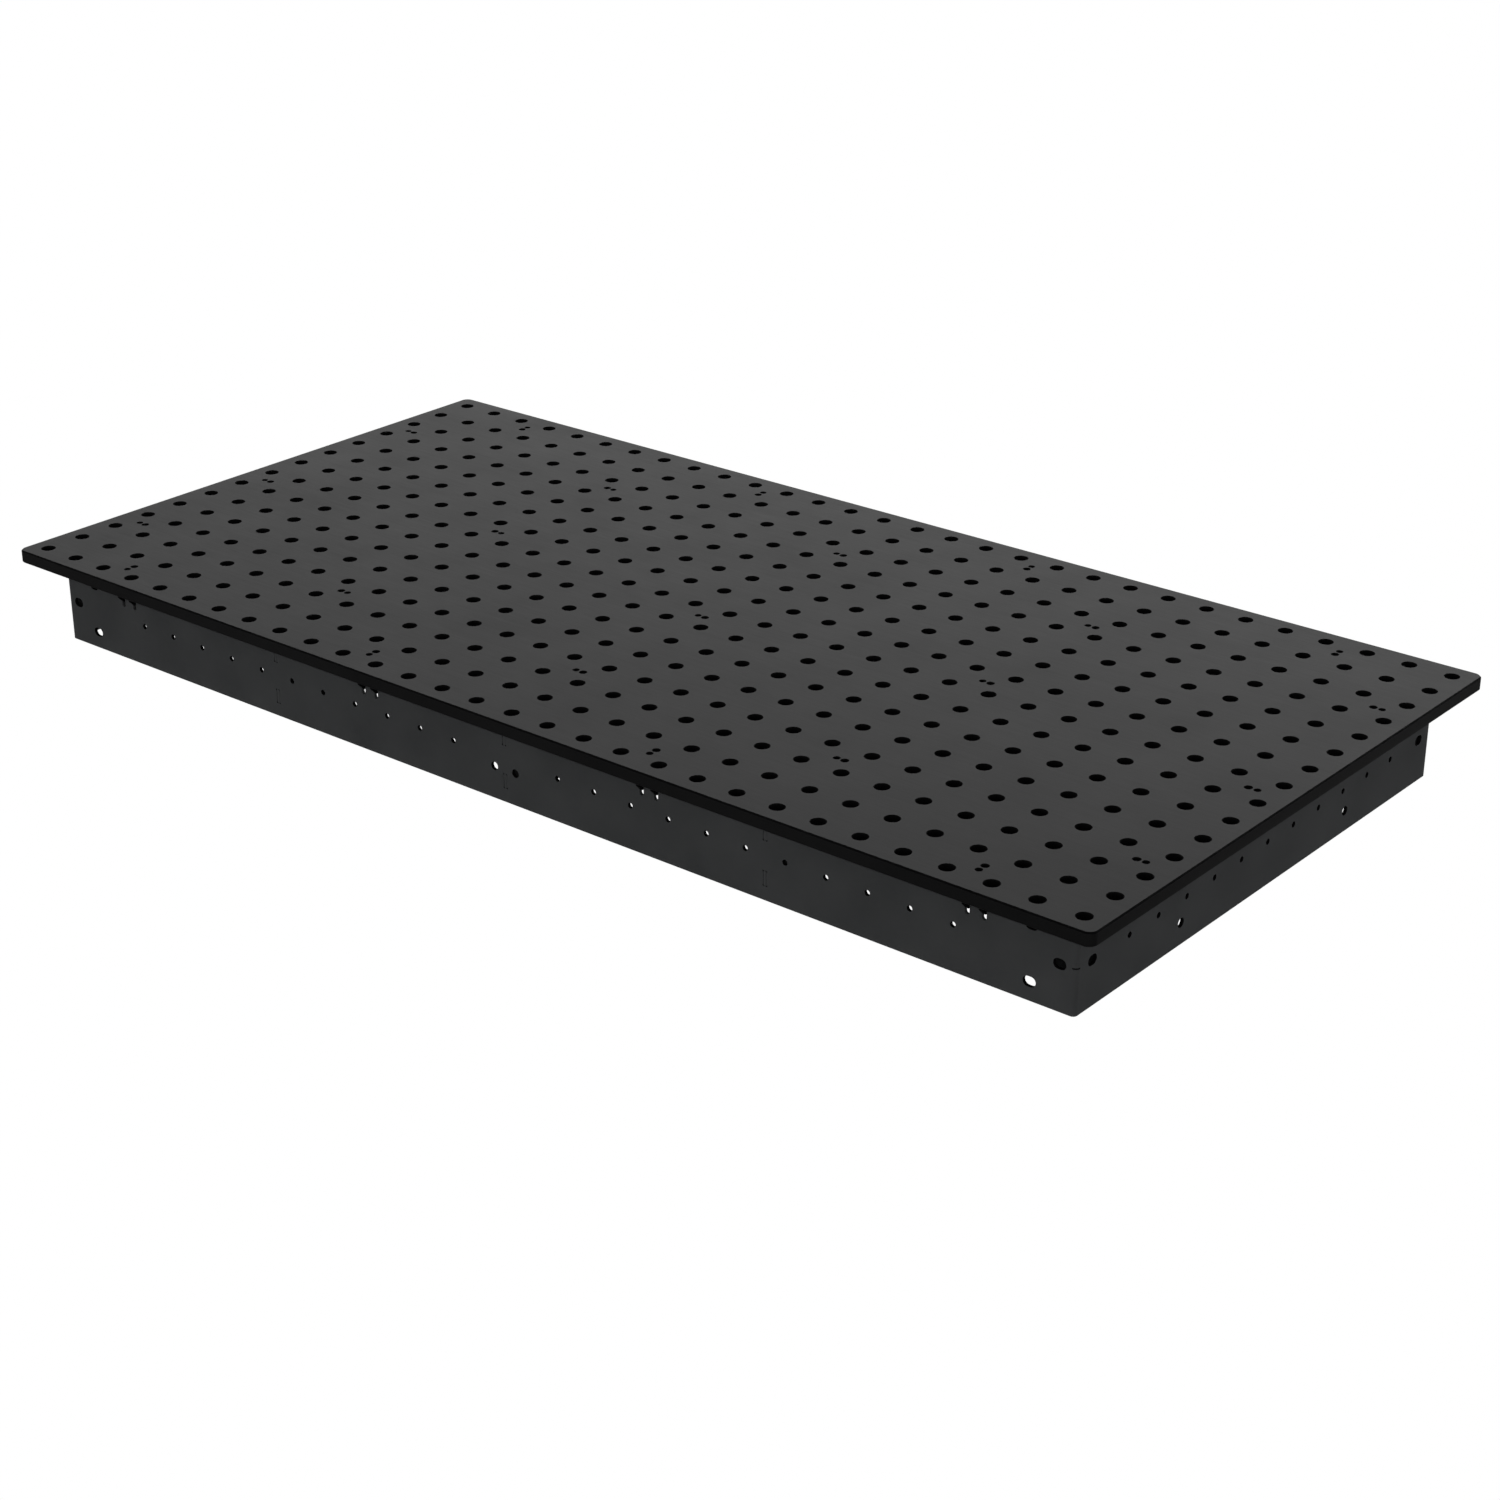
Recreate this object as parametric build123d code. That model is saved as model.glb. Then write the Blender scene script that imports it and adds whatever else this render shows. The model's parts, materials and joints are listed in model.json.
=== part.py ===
from build123d import *
import os
from math import sqrt

# Welding table: a thick drilled plate bolted down on a shallow frame of bent sheet and ribs.
# Millimetres, +Z up. The origin is the middle of the underside, where the frame rests.

# hole grid and top plate
hole_pitch = 50
hole_columns = 30
hole_rows = 15
fixture_hole_d = 16
hole_mouth_chamfer = 0.5
plate_length = hole_columns * hole_pitch
plate_width = hole_rows * hole_pitch
plate_thickness = 15
plate_corner_r = 10
plate_top_chamfer = 1.5
plate_under_chamfer = 1.0

# frame of bent sheet
frame_height = 99
frame_inset = 37.5
sheet = 4
bend_outer_r = 5
bend_inner_r = bend_outer_r - sheet
half_length = plate_length / 2 - frame_inset
half_width = plate_width / 2 - frame_inset
inner_length = half_length - sheet
inner_width = half_width - sheet
mid_height = frame_height / 2

# holes in the walls
row_hole_d = 6
long_row_reach = 575
long_row_gap_reach = 75
end_row_reach = 250
obround_length = 14
obround_height = 10.5
leg_hole_x = 662
leg_hole_heights = (20, 79)
corner_hole_from_end = 18.5
corner_hole_from_side = 25.5
middle_hole_d = 9.2
middle_hole_x = 15
middle_hole_z = 37.5
end_pair_d = 10
end_pair_y = 158
end_pair_z = 24.3
bend_slit_height = 1
overshoot = 1

# ribs, and the tabs that lock them into slots in the long walls
rib_positions = (-350, 0, 350)
rib_names = ("left_rib", "middle_rib", "right_rib")
tab_height = 15.5
tab_bottoms = (16.5, 66)
slot_corner_d = 1.6
window_length = 80
window_height = 44
window_spacing = 125
window_count = 5
window_z = 47

# corner braces
brace_leg = 96
brace_bottom = 10
brace_top = 80

# hold-down points: a pull bolt through a lug, and a levelling screw on the wall beside it
lug_width = 24
lug_depth = 20
lug_thickness = 6
lug_bottom = 83
lug_corner_r = 5
lug_hole_d = 9
push_inset = 2.5
push_to_pull = 10
wall_to_pull = push_inset + push_to_pull - sheet
rib_to_pull = push_to_pull - sheet / 2
relief_width = 5.2
relief_offset = 9.6
relief_bottom = 65.6
ear_thickness = 4.4
ear_depth = 11
ear_reach = 6.4
pull_hole_d = 8.1
push_hole_d = 7
long_wall_supports = (-600, -200, 200, 600)
end_wall_supports = (-225, -25, 225)
outer_rib_supports = (-225, 25, 225)

# fasteners: M8 with the thread left off
bolt_d = 8
bolt_length = 25
bolt_head_d = 13
bolt_head_height = 8
bolt_socket = 6
lock_washer_d = 12.7
lock_washer_thickness = 2
screw_d = 6.9
screw_length = 10
screw_socket = 4
socket_depth = 4.5
small_chamfer = 0.5

# weld beads
seam_leg = 4
lug_weld_leg = 2.5
lug_weld_length = 12
stitch_length = 25
end_gap = 5


def bar(diameter, start, length, direction):
    """A round bar from a point, along a direction."""
    plane = Plane(origin=start, z_dir=direction)
    return extrude(plane * Circle(diameter / 2), length)


def steps(reach):
    """Grid places from one reach to the other, a pitch apart."""
    count = round(2 * reach / hole_pitch)
    return [-reach + hole_pitch * i for i in range(count + 1)]


def prism(points, bottom, top):
    """An upright prism on a closed outline of points."""
    outline = Plane.XY.offset(bottom) * make_face(Polyline(*points, close=True))
    return extrude(outline, top - bottom, dir=(0, 0, 1))


# Each support is the point of its pull bolt, the way in from its wall, and the gap to that wall.
def supports_on_long_wall(side):
    y = side * (half_width - push_inset - push_to_pull)
    return [(x, y, 0, -side, wall_to_pull) for x in long_wall_supports]


def supports_on_end_wall(side):
    x = side * (half_length - push_inset - push_to_pull)
    return [(x, y, -side, 0, wall_to_pull) for y in end_wall_supports]


def supports_on_rib(rib_x, side, places):
    return [(rib_x + side * push_to_pull, y, side, 0, rib_to_pull) for y in places]


supports = {
    "front_wall": supports_on_long_wall(-1),
    "back_wall": supports_on_long_wall(1),
    "left_end": supports_on_end_wall(-1),
    "right_end": supports_on_end_wall(1),
    "left_rib": supports_on_rib(rib_positions[0], -1, outer_rib_supports),
    "middle_rib": supports_on_rib(rib_positions[1], 1, end_wall_supports),
    "right_rib": supports_on_rib(rib_positions[2], 1, outer_rib_supports),
}
all_supports = [point for group in supports.values() for point in group]


def at_support(point, z):
    """The place of a pull bolt at height z, with local +X pointing away from its wall."""
    x, y, in_x, in_y, gap = point
    return Plane(origin=(x, y, z), x_dir=(in_x, in_y, 0), z_dir=(0, 0, 1)).location


def push_place(point, z):
    """The place of the levelling screw, on the wall beside the pull bolt."""
    return at_support(point, z) * Pos(-push_to_pull, 0, 0)


def make_top_plate():
    sketch = RectangleRounded(plate_length, plate_width, plate_corner_r)
    grid = GridLocations(hole_pitch, hole_pitch, hole_columns, hole_rows)
    sketch -= grid * Circle(fixture_hole_d / 2)
    sketch -= [at_support(point, 0) * Circle(pull_hole_d / 2) for point in all_supports]
    sketch -= [push_place(point, 0) * Circle(push_hole_d / 2) for point in all_supports]
    plate = extrude(Plane.XY.offset(frame_height) * sketch, plate_thickness)
    top = plate.faces().sort_by(Axis.Z)[-1]
    plate = chamfer(top.outer_wire().edges(), plate_top_chamfer)
    under = plate.faces().sort_by(Axis.Z)[0]
    plate = chamfer(under.outer_wire().edges(), plate_under_chamfer)
    mouths = plate.edges().filter_by(GeomType.CIRCLE).filter_by(
        lambda edge: abs(edge.radius - fixture_hole_d / 2) < 0.01
        and edge.center().Z > frame_height + plate_thickness / 2)
    return chamfer(mouths, hole_mouth_chamfer)


def inside_of_frame():
    """The outline that the inner faces of the four walls enclose."""
    return RectangleRounded(2 * inner_length, 2 * inner_width, bend_inner_r)


def bent_wall_blank():
    """The front wall and right end in one sheet, bent at the near right corner and mitred at its ends."""
    ring = RectangleRounded(2 * half_length, 2 * half_width, bend_outer_r) - inside_of_frame()
    far_x = half_length + overshoot
    far_y = half_width + overshoot
    turn_x = inner_length - bend_outer_r
    turn_y = inner_width - bend_outer_r
    front_and_right = make_face(Polyline(
        (-far_x, -far_y), (-turn_x, -turn_y), (turn_x, turn_y), (far_x, far_y), (far_x, -far_y), close=True))
    return extrude(ring & front_and_right, frame_height)


def round_holes(places, through):
    """Round cutters of the given diameters, from outside a wall to past its inner face."""
    return [bar(d, start, sheet + 2 * overshoot, through) for start, d in places]


def obround_hole(start, along, through):
    """A cutter for a hole that is longer along the wall than it is high."""
    plane = Plane(origin=start, x_dir=along, z_dir=through)
    return extrude(plane * SlotOverall(obround_length, obround_height), sheet + 2 * overshoot)


def long_wall_cuts():
    """Everything cut through the front wall."""
    outside = -half_width - overshoot
    row = [x for x in steps(long_row_reach) if abs(x) >= long_row_gap_reach]
    places = [((x, outside, mid_height), row_hole_d) for x in row]
    places += [((side * middle_hole_x, outside, middle_hole_z), middle_hole_d) for side in (-1, 1)]
    cuts = round_holes(places, (0, 1, 0))
    for side in (-1, 1):
        starts = [(side * leg_hole_x, outside, z) for z in leg_hole_heights]
        starts.append((side * (half_length - corner_hole_from_end), outside, mid_height))
        cuts += [obround_hole(start, (1, 0, 0), (0, 1, 0)) for start in starts]
    for x in rib_positions:
        for bottom in tab_bottoms:
            middle = Pos(x, -half_width + sheet / 2, bottom + tab_height / 2)
            cuts.append(middle * Box(sheet, sheet, tab_height))
            corners = [((corner_x, outside, z), slot_corner_d)
                       for corner_x in (x - sheet / 2, x + sheet / 2)
                       for z in (bottom, bottom + tab_height)]
            cuts += round_holes(corners, (0, 1, 0))
    return cuts + [relief_slot(x + offset, -half_width + sheet / 2, 0)
                   for x in long_wall_supports for offset in (-relief_offset, relief_offset)]


def relief_slot(x, y, turn):
    """A slot open at the top of the wall, with a round lower end."""
    low = relief_bottom + relief_width / 2
    shape = Pos(0, 0, (low + frame_height) / 2) * Box(relief_width, 2 * sheet, frame_height - low)
    shape += bar(relief_width, (0, -sheet, low), 2 * sheet, (0, 1, 0))
    return Pos(x, y, 0) * Rot(0, 0, turn) * shape


def end_wall_cuts(support_places):
    """Everything cut through the right end."""
    outside = half_length + overshoot
    places = [((outside, y, mid_height), row_hole_d) for y in steps(end_row_reach)]
    places += [((outside, side * end_pair_y, end_pair_z), end_pair_d) for side in (-1, 1)]
    cuts = round_holes(places, (-1, 0, 0))
    for side in (-1, 1):
        start = (outside, side * (half_width - corner_hole_from_side), mid_height)
        cuts.append(obround_hole(start, (0, 1, 0), (-1, 0, 0)))
    return cuts + [relief_slot(half_length - sheet / 2, y + offset, 90)
                   for y in support_places for offset in (-relief_offset, relief_offset)]


def make_skirt(support_places):
    bend = Pos(half_length - bend_outer_r / 2, -half_width + bend_outer_r / 2, mid_height)
    slit_size = bend_outer_r + overshoot
    cuts = long_wall_cuts() + end_wall_cuts(support_places)
    cuts.append(bend * Box(slit_size, slit_size, bend_slit_height))
    return bent_wall_blank() - cuts


def make_rib(x):
    """A plate across the frame, with two tabs at each end and obround windows."""
    outline = Pos(0, mid_height) * Rectangle(2 * inner_width, frame_height)
    for bottom in tab_bottoms:
        outline += Pos(0, bottom + tab_height / 2) * Rectangle(2 * half_width, tab_height)
    first = -window_spacing * (window_count - 1) / 2
    for i in range(window_count):
        place = Pos(first + window_spacing * i, window_z)
        outline -= place * SlotOverall(window_length, window_height)
    plane = Plane(origin=(x - sheet / 2, 0, 0), x_dir=(0, 1, 0), z_dir=(1, 0, 0))
    return extrude(plane * outline, sheet)


def brace_ends():
    """Where the brace meets the long wall and the end wall, near face then far face."""
    reach = brace_leg - sheet
    thick = sheet * sqrt(2)
    long_near = (half_length - reach, inner_width)
    long_far = (half_length - reach - thick, inner_width)
    end_near = (inner_length, half_width - reach)
    end_far = (inner_length, half_width - reach - thick)
    return long_near, long_far, end_near, end_far


def in_corner(points, side_x, side_y):
    return [(side_x * x, side_y * y) for x, y in points]


def make_brace(side_x, side_y):
    long_near, long_far, end_near, end_far = brace_ends()
    outline = in_corner((long_near, long_far, end_far, end_near), side_x, side_y)
    return prism(outline, brace_bottom, brace_top)


def make_brace_welds(side_x, side_y):
    """One bead where each end of a brace meets its wall, on the side facing the bay."""
    _, (lx, ly), _, (ex, ey) = brace_ends()
    slope = seam_leg / sqrt(2)
    long_bead = ((lx, ly), (lx - seam_leg, ly), (lx + slope, ly - slope))
    end_bead = ((ex, ey), (ex, ey - seam_leg), (ex - slope, ey + slope))
    return [prism(in_corner(bead, side_x, side_y), brace_bottom + end_gap, brace_top - end_gap)
            for bead in (long_bead, end_bead)]


def make_seam_weld(side):
    """The fillet inside the corner where the two bent walls meet, front left or back right."""
    x = -inner_length
    y = -inner_width
    bead = make_face(Polyline((x, y), (x + seam_leg, y), (x, y + seam_leg), close=True))
    outline = Plane.XY.offset(end_gap) * (bead & inside_of_frame())
    turn = Rot(0, 0, 0 if side < 0 else 180)
    return turn * extrude(outline, frame_height - 2 * end_gap)


def make_rib_welds(x):
    """Two stitches on each face of a rib, at both ends."""
    beads = []
    for side_x in (-1, 1):
        for side_y in (-1, 1):
            root = (x + side_x * sheet / 2, side_y * inner_width)
            along_wall = (root[0] + side_x * seam_leg, root[1])
            along_rib = (root[0], root[1] - side_y * seam_leg)
            for bottom in (end_gap, frame_height - end_gap - stitch_length):
                beads.append(prism((root, along_wall, along_rib), bottom, bottom + stitch_length))
    return beads


def make_ear(side):
    """A gusset under the lug that passes out through a relief slot and ends just outside the wall."""
    wall_outside = -wall_to_pull - sheet
    tip = wall_outside - ear_reach
    outline = make_face(Polyline(
        (tip, 0), (tip, ear_reach - ear_depth), (wall_outside, -ear_depth),
        (-wall_to_pull, -ear_depth), (ear_depth - wall_to_pull, 0), close=True))
    face = side * relief_offset + ear_thickness / 2
    plane = Plane(origin=(0, face, 0), x_dir=(1, 0, 0), z_dir=(0, -1, 0))
    return extrude(plane * outline, ear_thickness)


def make_lug(point, has_ears):
    gap = point[4]
    outline = Pos(lug_depth / 2 - gap, 0) * Rectangle(lug_depth, lug_width)
    outline = fillet(outline.vertices().sort_by(Axis.X)[-2:], lug_corner_r)
    outline -= Circle(lug_hole_d / 2)
    lug = extrude(outline, lug_thickness)
    if has_ears:
        lug += [make_ear(-1), make_ear(1)]
    return at_support(point, lug_bottom) * lug


def make_lug_weld(point):
    """A small fillet on top of the lug, between it and its wall."""
    gap = point[4]
    bead = Plane(origin=(-gap, lug_weld_length / 2, 0), x_dir=(1, 0, 0), z_dir=(0, -1, 0))
    triangle = make_face(Polyline((0, 0), (lug_weld_leg, 0), (0, lug_weld_leg), close=True))
    return at_support(point, lug_bottom + lug_thickness) * extrude(bead * triangle, lug_weld_length)


def make_bolt():
    """A socket head cap screw, pointing up, with its origin under the head's seat."""
    head = Pos(0, 0, -bolt_head_height / 2) * Cylinder(bolt_head_d / 2, bolt_head_height)
    head = chamfer(head.edges().sort_by(Axis.Z)[0], small_chamfer)
    shank = Pos(0, 0, bolt_length / 2) * Cylinder(bolt_d / 2, bolt_length)
    shank = chamfer(shank.edges().sort_by(Axis.Z)[-1], small_chamfer)
    socket = RegularPolygon(bolt_socket / 2, 6, major_radius=False)
    return head + shank - extrude(Pos(0, 0, -bolt_head_height) * socket, socket_depth)


def make_lock_washer():
    ring = Circle(lock_washer_d / 2) - Circle(bolt_d / 2)
    return extrude(ring, lock_washer_thickness)


def make_levelling_screw():
    """A set screw with a hexagon socket in its top and a chamfered point."""
    body = Pos(0, 0, screw_length / 2) * Cylinder(screw_d / 2, screw_length)
    body = chamfer(body.edges().sort_by(Axis.Z)[0], 2 * small_chamfer)
    socket = RegularPolygon(screw_socket / 2, 6, major_radius=False)
    return body - extrude(Pos(0, 0, screw_length) * socket, -socket_depth)


def group(solids):
    return Compound(children=list(solids))


nodes = {"top_plate": make_top_plate()}
nodes["front_right_skirt"] = make_skirt(end_wall_supports)
nodes["back_left_skirt"] = Rot(0, 0, 180) * make_skirt([-y for y in end_wall_supports])
for rib_name, rib_x in zip(rib_names, rib_positions):
    nodes[rib_name] = make_rib(rib_x)
corners = {"front_left": (-1, -1), "front_right": (1, -1), "back_left": (-1, 1), "back_right": (1, 1)}
for corner_name, sides in corners.items():
    nodes[corner_name + "_brace"] = make_brace(*sides)
for group_name, points in supports.items():
    on_wall = not group_name.endswith("rib")
    nodes[group_name + "_lugs"] = group(make_lug(point, on_wall) for point in points)

washer_seat = lug_bottom - lock_washer_thickness
bolt = make_bolt()
lock_washer = make_lock_washer()
levelling_screw = make_levelling_screw()
nodes["hold_down_bolts"] = group(at_support(point, washer_seat) * bolt for point in all_supports)
nodes["lock_washers"] = group(at_support(point, washer_seat) * lock_washer for point in all_supports)
nodes["levelling_screws"] = group(
    push_place(point, frame_height) * levelling_screw for point in all_supports)
nodes["rib_welds"] = group(bead for x in rib_positions for bead in make_rib_welds(x))
nodes["corner_seam_welds"] = group(make_seam_weld(side) for side in (-1, 1))
nodes["brace_welds"] = group(bead for sides in corners.values() for bead in make_brace_welds(*sides))
nodes["lug_welds"] = group(make_lug_weld(point) for point in all_supports)

os.makedirs("parts", exist_ok=True)
for name, shape in nodes.items():
    export_step(shape, f"parts/{name}.step")
    print(name, round(shape.volume), "mm3")
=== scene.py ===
import bpy
import bmesh
import json
import math
import numpy as np
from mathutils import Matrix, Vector
from mathutils.geometry import delaunay_2d_cdt


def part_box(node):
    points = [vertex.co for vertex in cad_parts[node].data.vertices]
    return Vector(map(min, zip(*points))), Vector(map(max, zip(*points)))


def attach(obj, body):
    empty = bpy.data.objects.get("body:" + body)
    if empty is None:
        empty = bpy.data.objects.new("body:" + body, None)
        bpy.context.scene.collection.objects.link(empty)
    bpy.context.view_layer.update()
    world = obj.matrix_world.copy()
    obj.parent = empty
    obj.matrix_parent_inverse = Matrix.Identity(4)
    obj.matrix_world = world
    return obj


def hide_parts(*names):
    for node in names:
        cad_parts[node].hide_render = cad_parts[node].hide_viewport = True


# A drilled steel table top on a shallow bent sheet frame. Shapes are worked out in millimetres and
# go into their meshes in metres, in the row frame: +X along the long side, +Z up.

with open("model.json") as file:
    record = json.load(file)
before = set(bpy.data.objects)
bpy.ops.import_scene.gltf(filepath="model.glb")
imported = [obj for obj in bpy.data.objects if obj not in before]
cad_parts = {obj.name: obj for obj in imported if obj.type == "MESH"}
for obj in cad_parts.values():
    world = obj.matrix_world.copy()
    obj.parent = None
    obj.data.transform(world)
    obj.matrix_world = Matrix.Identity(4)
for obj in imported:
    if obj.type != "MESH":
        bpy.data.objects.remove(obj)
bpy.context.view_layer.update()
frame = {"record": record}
mounts = {m["name"]: m for m in frame["record"]["mounts"]}
mm = 1000.0


def nodeBox(name):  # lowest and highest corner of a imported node, in millimetres
    low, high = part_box(name)
    return np.round(np.array(low) * mm, 2), np.round(np.array(high) * mm, 2)


def mountAt(name):  # a mount's place, in millimetres
    return np.round(np.array(mounts[name]["pos_m"]) * mm, 2)


def mountSize(name, key):
    return mounts[name]["dims"][key]


plateLow, plateHigh = nodeBox("top_plate")
skirtLow, skirtHigh = nodeBox("front_right_skirt")
lugLow, lugHigh = nodeBox("middle_rib_lugs")
halfLength = skirtHigh[0]
halfWidth = -skirtLow[1]
frameHeight = skirtHigh[2]
midHeight = frameHeight / 2
sheet = nodeBox("left_rib")[1][0] - nodeBox("left_rib")[0][0]


# ---- shapes as arrays ----

# An empty shape, and one added to another with its face numbers moved up.
def newShape():
    return {"points": np.zeros((0, 3)), "quads": np.zeros((0, 4), int), "tris": np.zeros((0, 3), int)}


def addShape(total, extra):
    start = len(total["points"])
    total["points"] = np.vstack((total["points"], extra["points"]))
    total["quads"] = np.vstack((total["quads"], extra["quads"] + start))
    total["tris"] = np.vstack((total["tris"], extra["tris"] + start))
    return total


# Rings of a tube: point (i, j) joins (i + 1, j) and (i, j + 1), and j wraps round.
def tubeQuads(rows, columns, start=0):
    i, j = np.meshgrid(np.arange(rows - 1), np.arange(columns), indexing="ij")
    k = (j + 1) % columns
    quads = np.stack((i * columns + j, i * columns + k, (i + 1) * columns + k, (i + 1) * columns + j), -1)
    return quads.reshape(-1, 4) + start


# A closed body from rings: an array of (rings, points on a ring, 3), each end closed by a fan.
def loftRings(rings):
    rows, columns, _ = rings.shape
    points = np.vstack((rings.reshape(-1, 3), rings[0].mean(0), rings[-1].mean(0)))
    j = np.arange(columns)
    k = (j + 1) % columns
    last = (rows - 1) * columns
    low = np.column_stack((k, j, np.full(columns, rows * columns)))
    high = np.column_stack((last + j, last + k, np.full(columns, rows * columns + 1)))
    return {"points": points, "quads": tubeQuads(rows, columns), "tris": np.vstack((low, high))}


# The same shape at each place: point = origin + x * across + y * side + z * up.
def copiesAt(shape, places):
    total = newShape()
    for origin, across in places:
        across = np.array([across[0], across[1], 0.0])
        side = np.array([-across[1], across[0], 0.0])
        x, y, z = shape["points"].T
        moved = np.array(origin) + np.outer(x, across) + np.outer(y, side) + np.outer(z, (0, 0, 1))
        total = addShape(total, {**shape, "points": moved})
    return total


# Points at equal angles on a circle: centre + radius * (cos a, sin a).
def circle(x, y, diameter, count):
    a = np.arange(count) * 2 * np.pi / count + np.pi / count
    return np.column_stack((x + diameter / 2 * np.cos(a), y + diameter / 2 * np.sin(a)))


# A hole longer than it is high: two half circles joined by straight sides.
def obround(x, y, length, height, count):
    half = (length - height) / 2
    return np.vstack((arc(x + half, y, height / 2, -90, 90, count // 2),
                      arc(x - half, y, height / 2, 90, 270, count // 2)))


# Part of a circle from one angle to another, both ends included.
def arc(x, y, radius, first, last, count):
    a = np.radians(np.linspace(first, last, count))
    return np.column_stack((x + radius * np.cos(a), y + radius * np.sin(a)))


# For each point of an anticlockwise loop, the mitred step of unit width towards its left side.
def leftSteps(loop):
    along = np.roll(loop, -1, 0) - loop
    along /= np.linalg.norm(along, axis=1)[:, None]
    left = np.column_stack((-along[:, 1], along[:, 0]))
    both = left + np.roll(left, 1, 0)
    both /= np.maximum(np.linalg.norm(both, axis=1), 1e-6)[:, None]
    return both / np.maximum((both * left).sum(1), 0.5)[:, None]


# True for points inside a loop, by how many of its sides a ray to the right crosses.
def insideLoop(points, loop):
    x, y = points[:, 0, None], points[:, 1, None]
    ax, ay = loop.T
    bx, by = np.roll(loop, -1, 0).T
    crosses = (ay > y) != (by > y)
    at = ax + (y - ay) * (bx - ax) / np.where(by == ay, 1e-9, by - ay)
    return (crosses & (at > x)).sum(1) % 2 == 1


# A face between an outer loop and its holes, as triangles whose corners are the loops' own points.
def fillFace(loops, creases):
    points = np.vstack(loops)
    owner = np.repeat(np.arange(len(loops)), [len(loop) for loop in loops])
    starts = np.cumsum([0] + [len(loop) for loop in loops[:-1]])
    sides = []
    for start, loop in zip(starts, loops):
        j = np.arange(len(loop))
        sides.append(np.column_stack((start + j, start + (j + 1) % len(loop))))
    sides = np.vstack(sides + [np.array(creases, int).reshape(-1, 2)])
    corners = [Vector(p) for p in points.tolist()]
    made = delaunay_2d_cdt(corners, sides.tolist(), [], 0, 1e-5)
    source = np.array([ids[0] for ids in made[3]])
    tris = source[np.array(made[2])]
    whose = owner[tris]
    oneLoop = (whose[:, 0] == whose[:, 1]) & (whose[:, 1] == whose[:, 2])
    keep = np.ones(len(tris), bool)
    for n, loop in enumerate(loops):
        own = np.flatnonzero(oneLoop & (whose[:, 0] == n))
        if len(own):
            inside = insideLoop(points[tris[own]].mean(1), loop)
            keep[own] = inside if n == 0 else ~inside
    return tris[keep]


# A sheet cut to an outline with holes. Each loop goes down through the sheet along its rim, whose
# steps are (set back from the edge, depth): point = loop + set back * way into the metal.
# place turns arrays of across, along and depth into x, y, z.
def cutSheet(outer, holes, outerRim, holeRim, place, creases=()):
    loops = [outer] + holes
    tops, shape, start = [], newShape(), 0
    topIndex, bottomIndex = [], []
    for n, loop in enumerate(loops):
        rim = np.array(outerRim if n == 0 else holeRim)
        inward = leftSteps(loop) * (1 if n == 0 else -1)
        rings = loop[None] + rim[:, 0, None, None] * inward[None]
        depth = np.broadcast_to(rim[:, 1, None], rings.shape[:2])
        points = place(rings[..., 0].ravel(), rings[..., 1].ravel(), depth.ravel())
        quads = tubeQuads(len(rim), len(loop))
        addShape(shape, {"points": points, "quads": quads, "tris": np.zeros((0, 3), int)})
        tops.append(rings[0])
        if n == 0:
            shape["topEdge"] = len(loop)
            shape["holesFrom"] = len(quads)
        topIndex.append(start + np.arange(len(loop)))
        bottomIndex.append(start + (len(rim) - 1) * len(loop) + np.arange(len(loop)))
        start += len(points)
    tris = fillFace(tops, creases)
    top = np.concatenate(topIndex)[tris]
    bottom = np.concatenate(bottomIndex)[tris][:, ::-1]
    shape["tris"] = np.vstack((top, bottom))
    return shape


# A rim with small bevels at both faces of a sheet.
def bevelRim(thickness, top, under):
    return [(top, 0), (0, top), (0, thickness - under), (under, thickness)]


# A mesh object from a shape in millimetres, closed, facing outwards, smooth except at real edges.
# A second finish, when given, is painted shade: the walls of its holes take it, and so does its top edge if
# the edge flag is set.
def makePiece(name, shape, material, slotName, *nodes, holeShadeFinish=None, shadeTopEdge=False):
    mesh = bpy.data.meshes.new(name)
    faces = shape["quads"].tolist() + shape["tris"].tolist()
    mesh.from_pydata((shape["points"] / mm).tolist(), [], faces)
    work = bmesh.new()
    work.from_mesh(mesh)
    bmesh.ops.recalc_face_normals(work, faces=work.faces)
    work.to_mesh(mesh)
    work.free()
    mesh.shade_smooth()
    mesh.set_sharp_from_angle(angle=math.radians(32))
    mesh.materials.append(material)
    if holeShadeFinish:
        mesh.materials.append(holeShadeFinish)
        index = np.zeros(len(faces), np.int32)
        index[shape["holesFrom"]:len(shape["quads"])] = 1
        # painted shade on the top edge chamfer: it takes the near-black hole colour
        if shadeTopEdge:
            index[:shape["topEdge"]] = 1
        mesh.polygons.foreach_set("material_index", index)
    piece = bpy.data.objects.new(name, mesh)
    bpy.context.scene.collection.objects.link(piece)
    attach(piece, "root")
    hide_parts(*nodes)
    print(name, "has", len(mesh.polygons), "faces")
    return piece


# ---- materials ----

def newMaterial(name, look):
    material = bpy.data.materials.new(name)
    material.use_nodes = True
    nodes = material.node_tree.nodes
    shader = nodes["Principled BSDF"]
    shader.inputs["Roughness"].default_value = look["roughness"]
    shader.inputs["Specular IOR Level"].default_value = look["gloss"]
    shader.inputs["IOR"].default_value = look.get("ior", 1.5)
    shader.inputs["Metallic"].default_value = look.get("metallic", 0.0)
    return material, nodes, material.node_tree.links, shader


# Noise in Object coordinates, stretched by a Mapping node.
def noiseAt(nodes, links, scale, detail=3.0, stretch=(1, 1, 1), rough=0.5):
    where = nodes.new("ShaderNodeTexCoord")
    mapping = nodes.new("ShaderNodeMapping")
    mapping.inputs["Scale"].default_value = stretch
    noise = nodes.new("ShaderNodeTexNoise")
    noise.inputs["Scale"].default_value = scale
    noise.inputs["Detail"].default_value = detail
    noise.inputs["Roughness"].default_value = rough
    links.new(where.outputs["Object"], mapping.inputs["Vector"])
    links.new(mapping.outputs["Vector"], noise.inputs["Vector"])
    return noise.outputs["Fac"]


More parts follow.
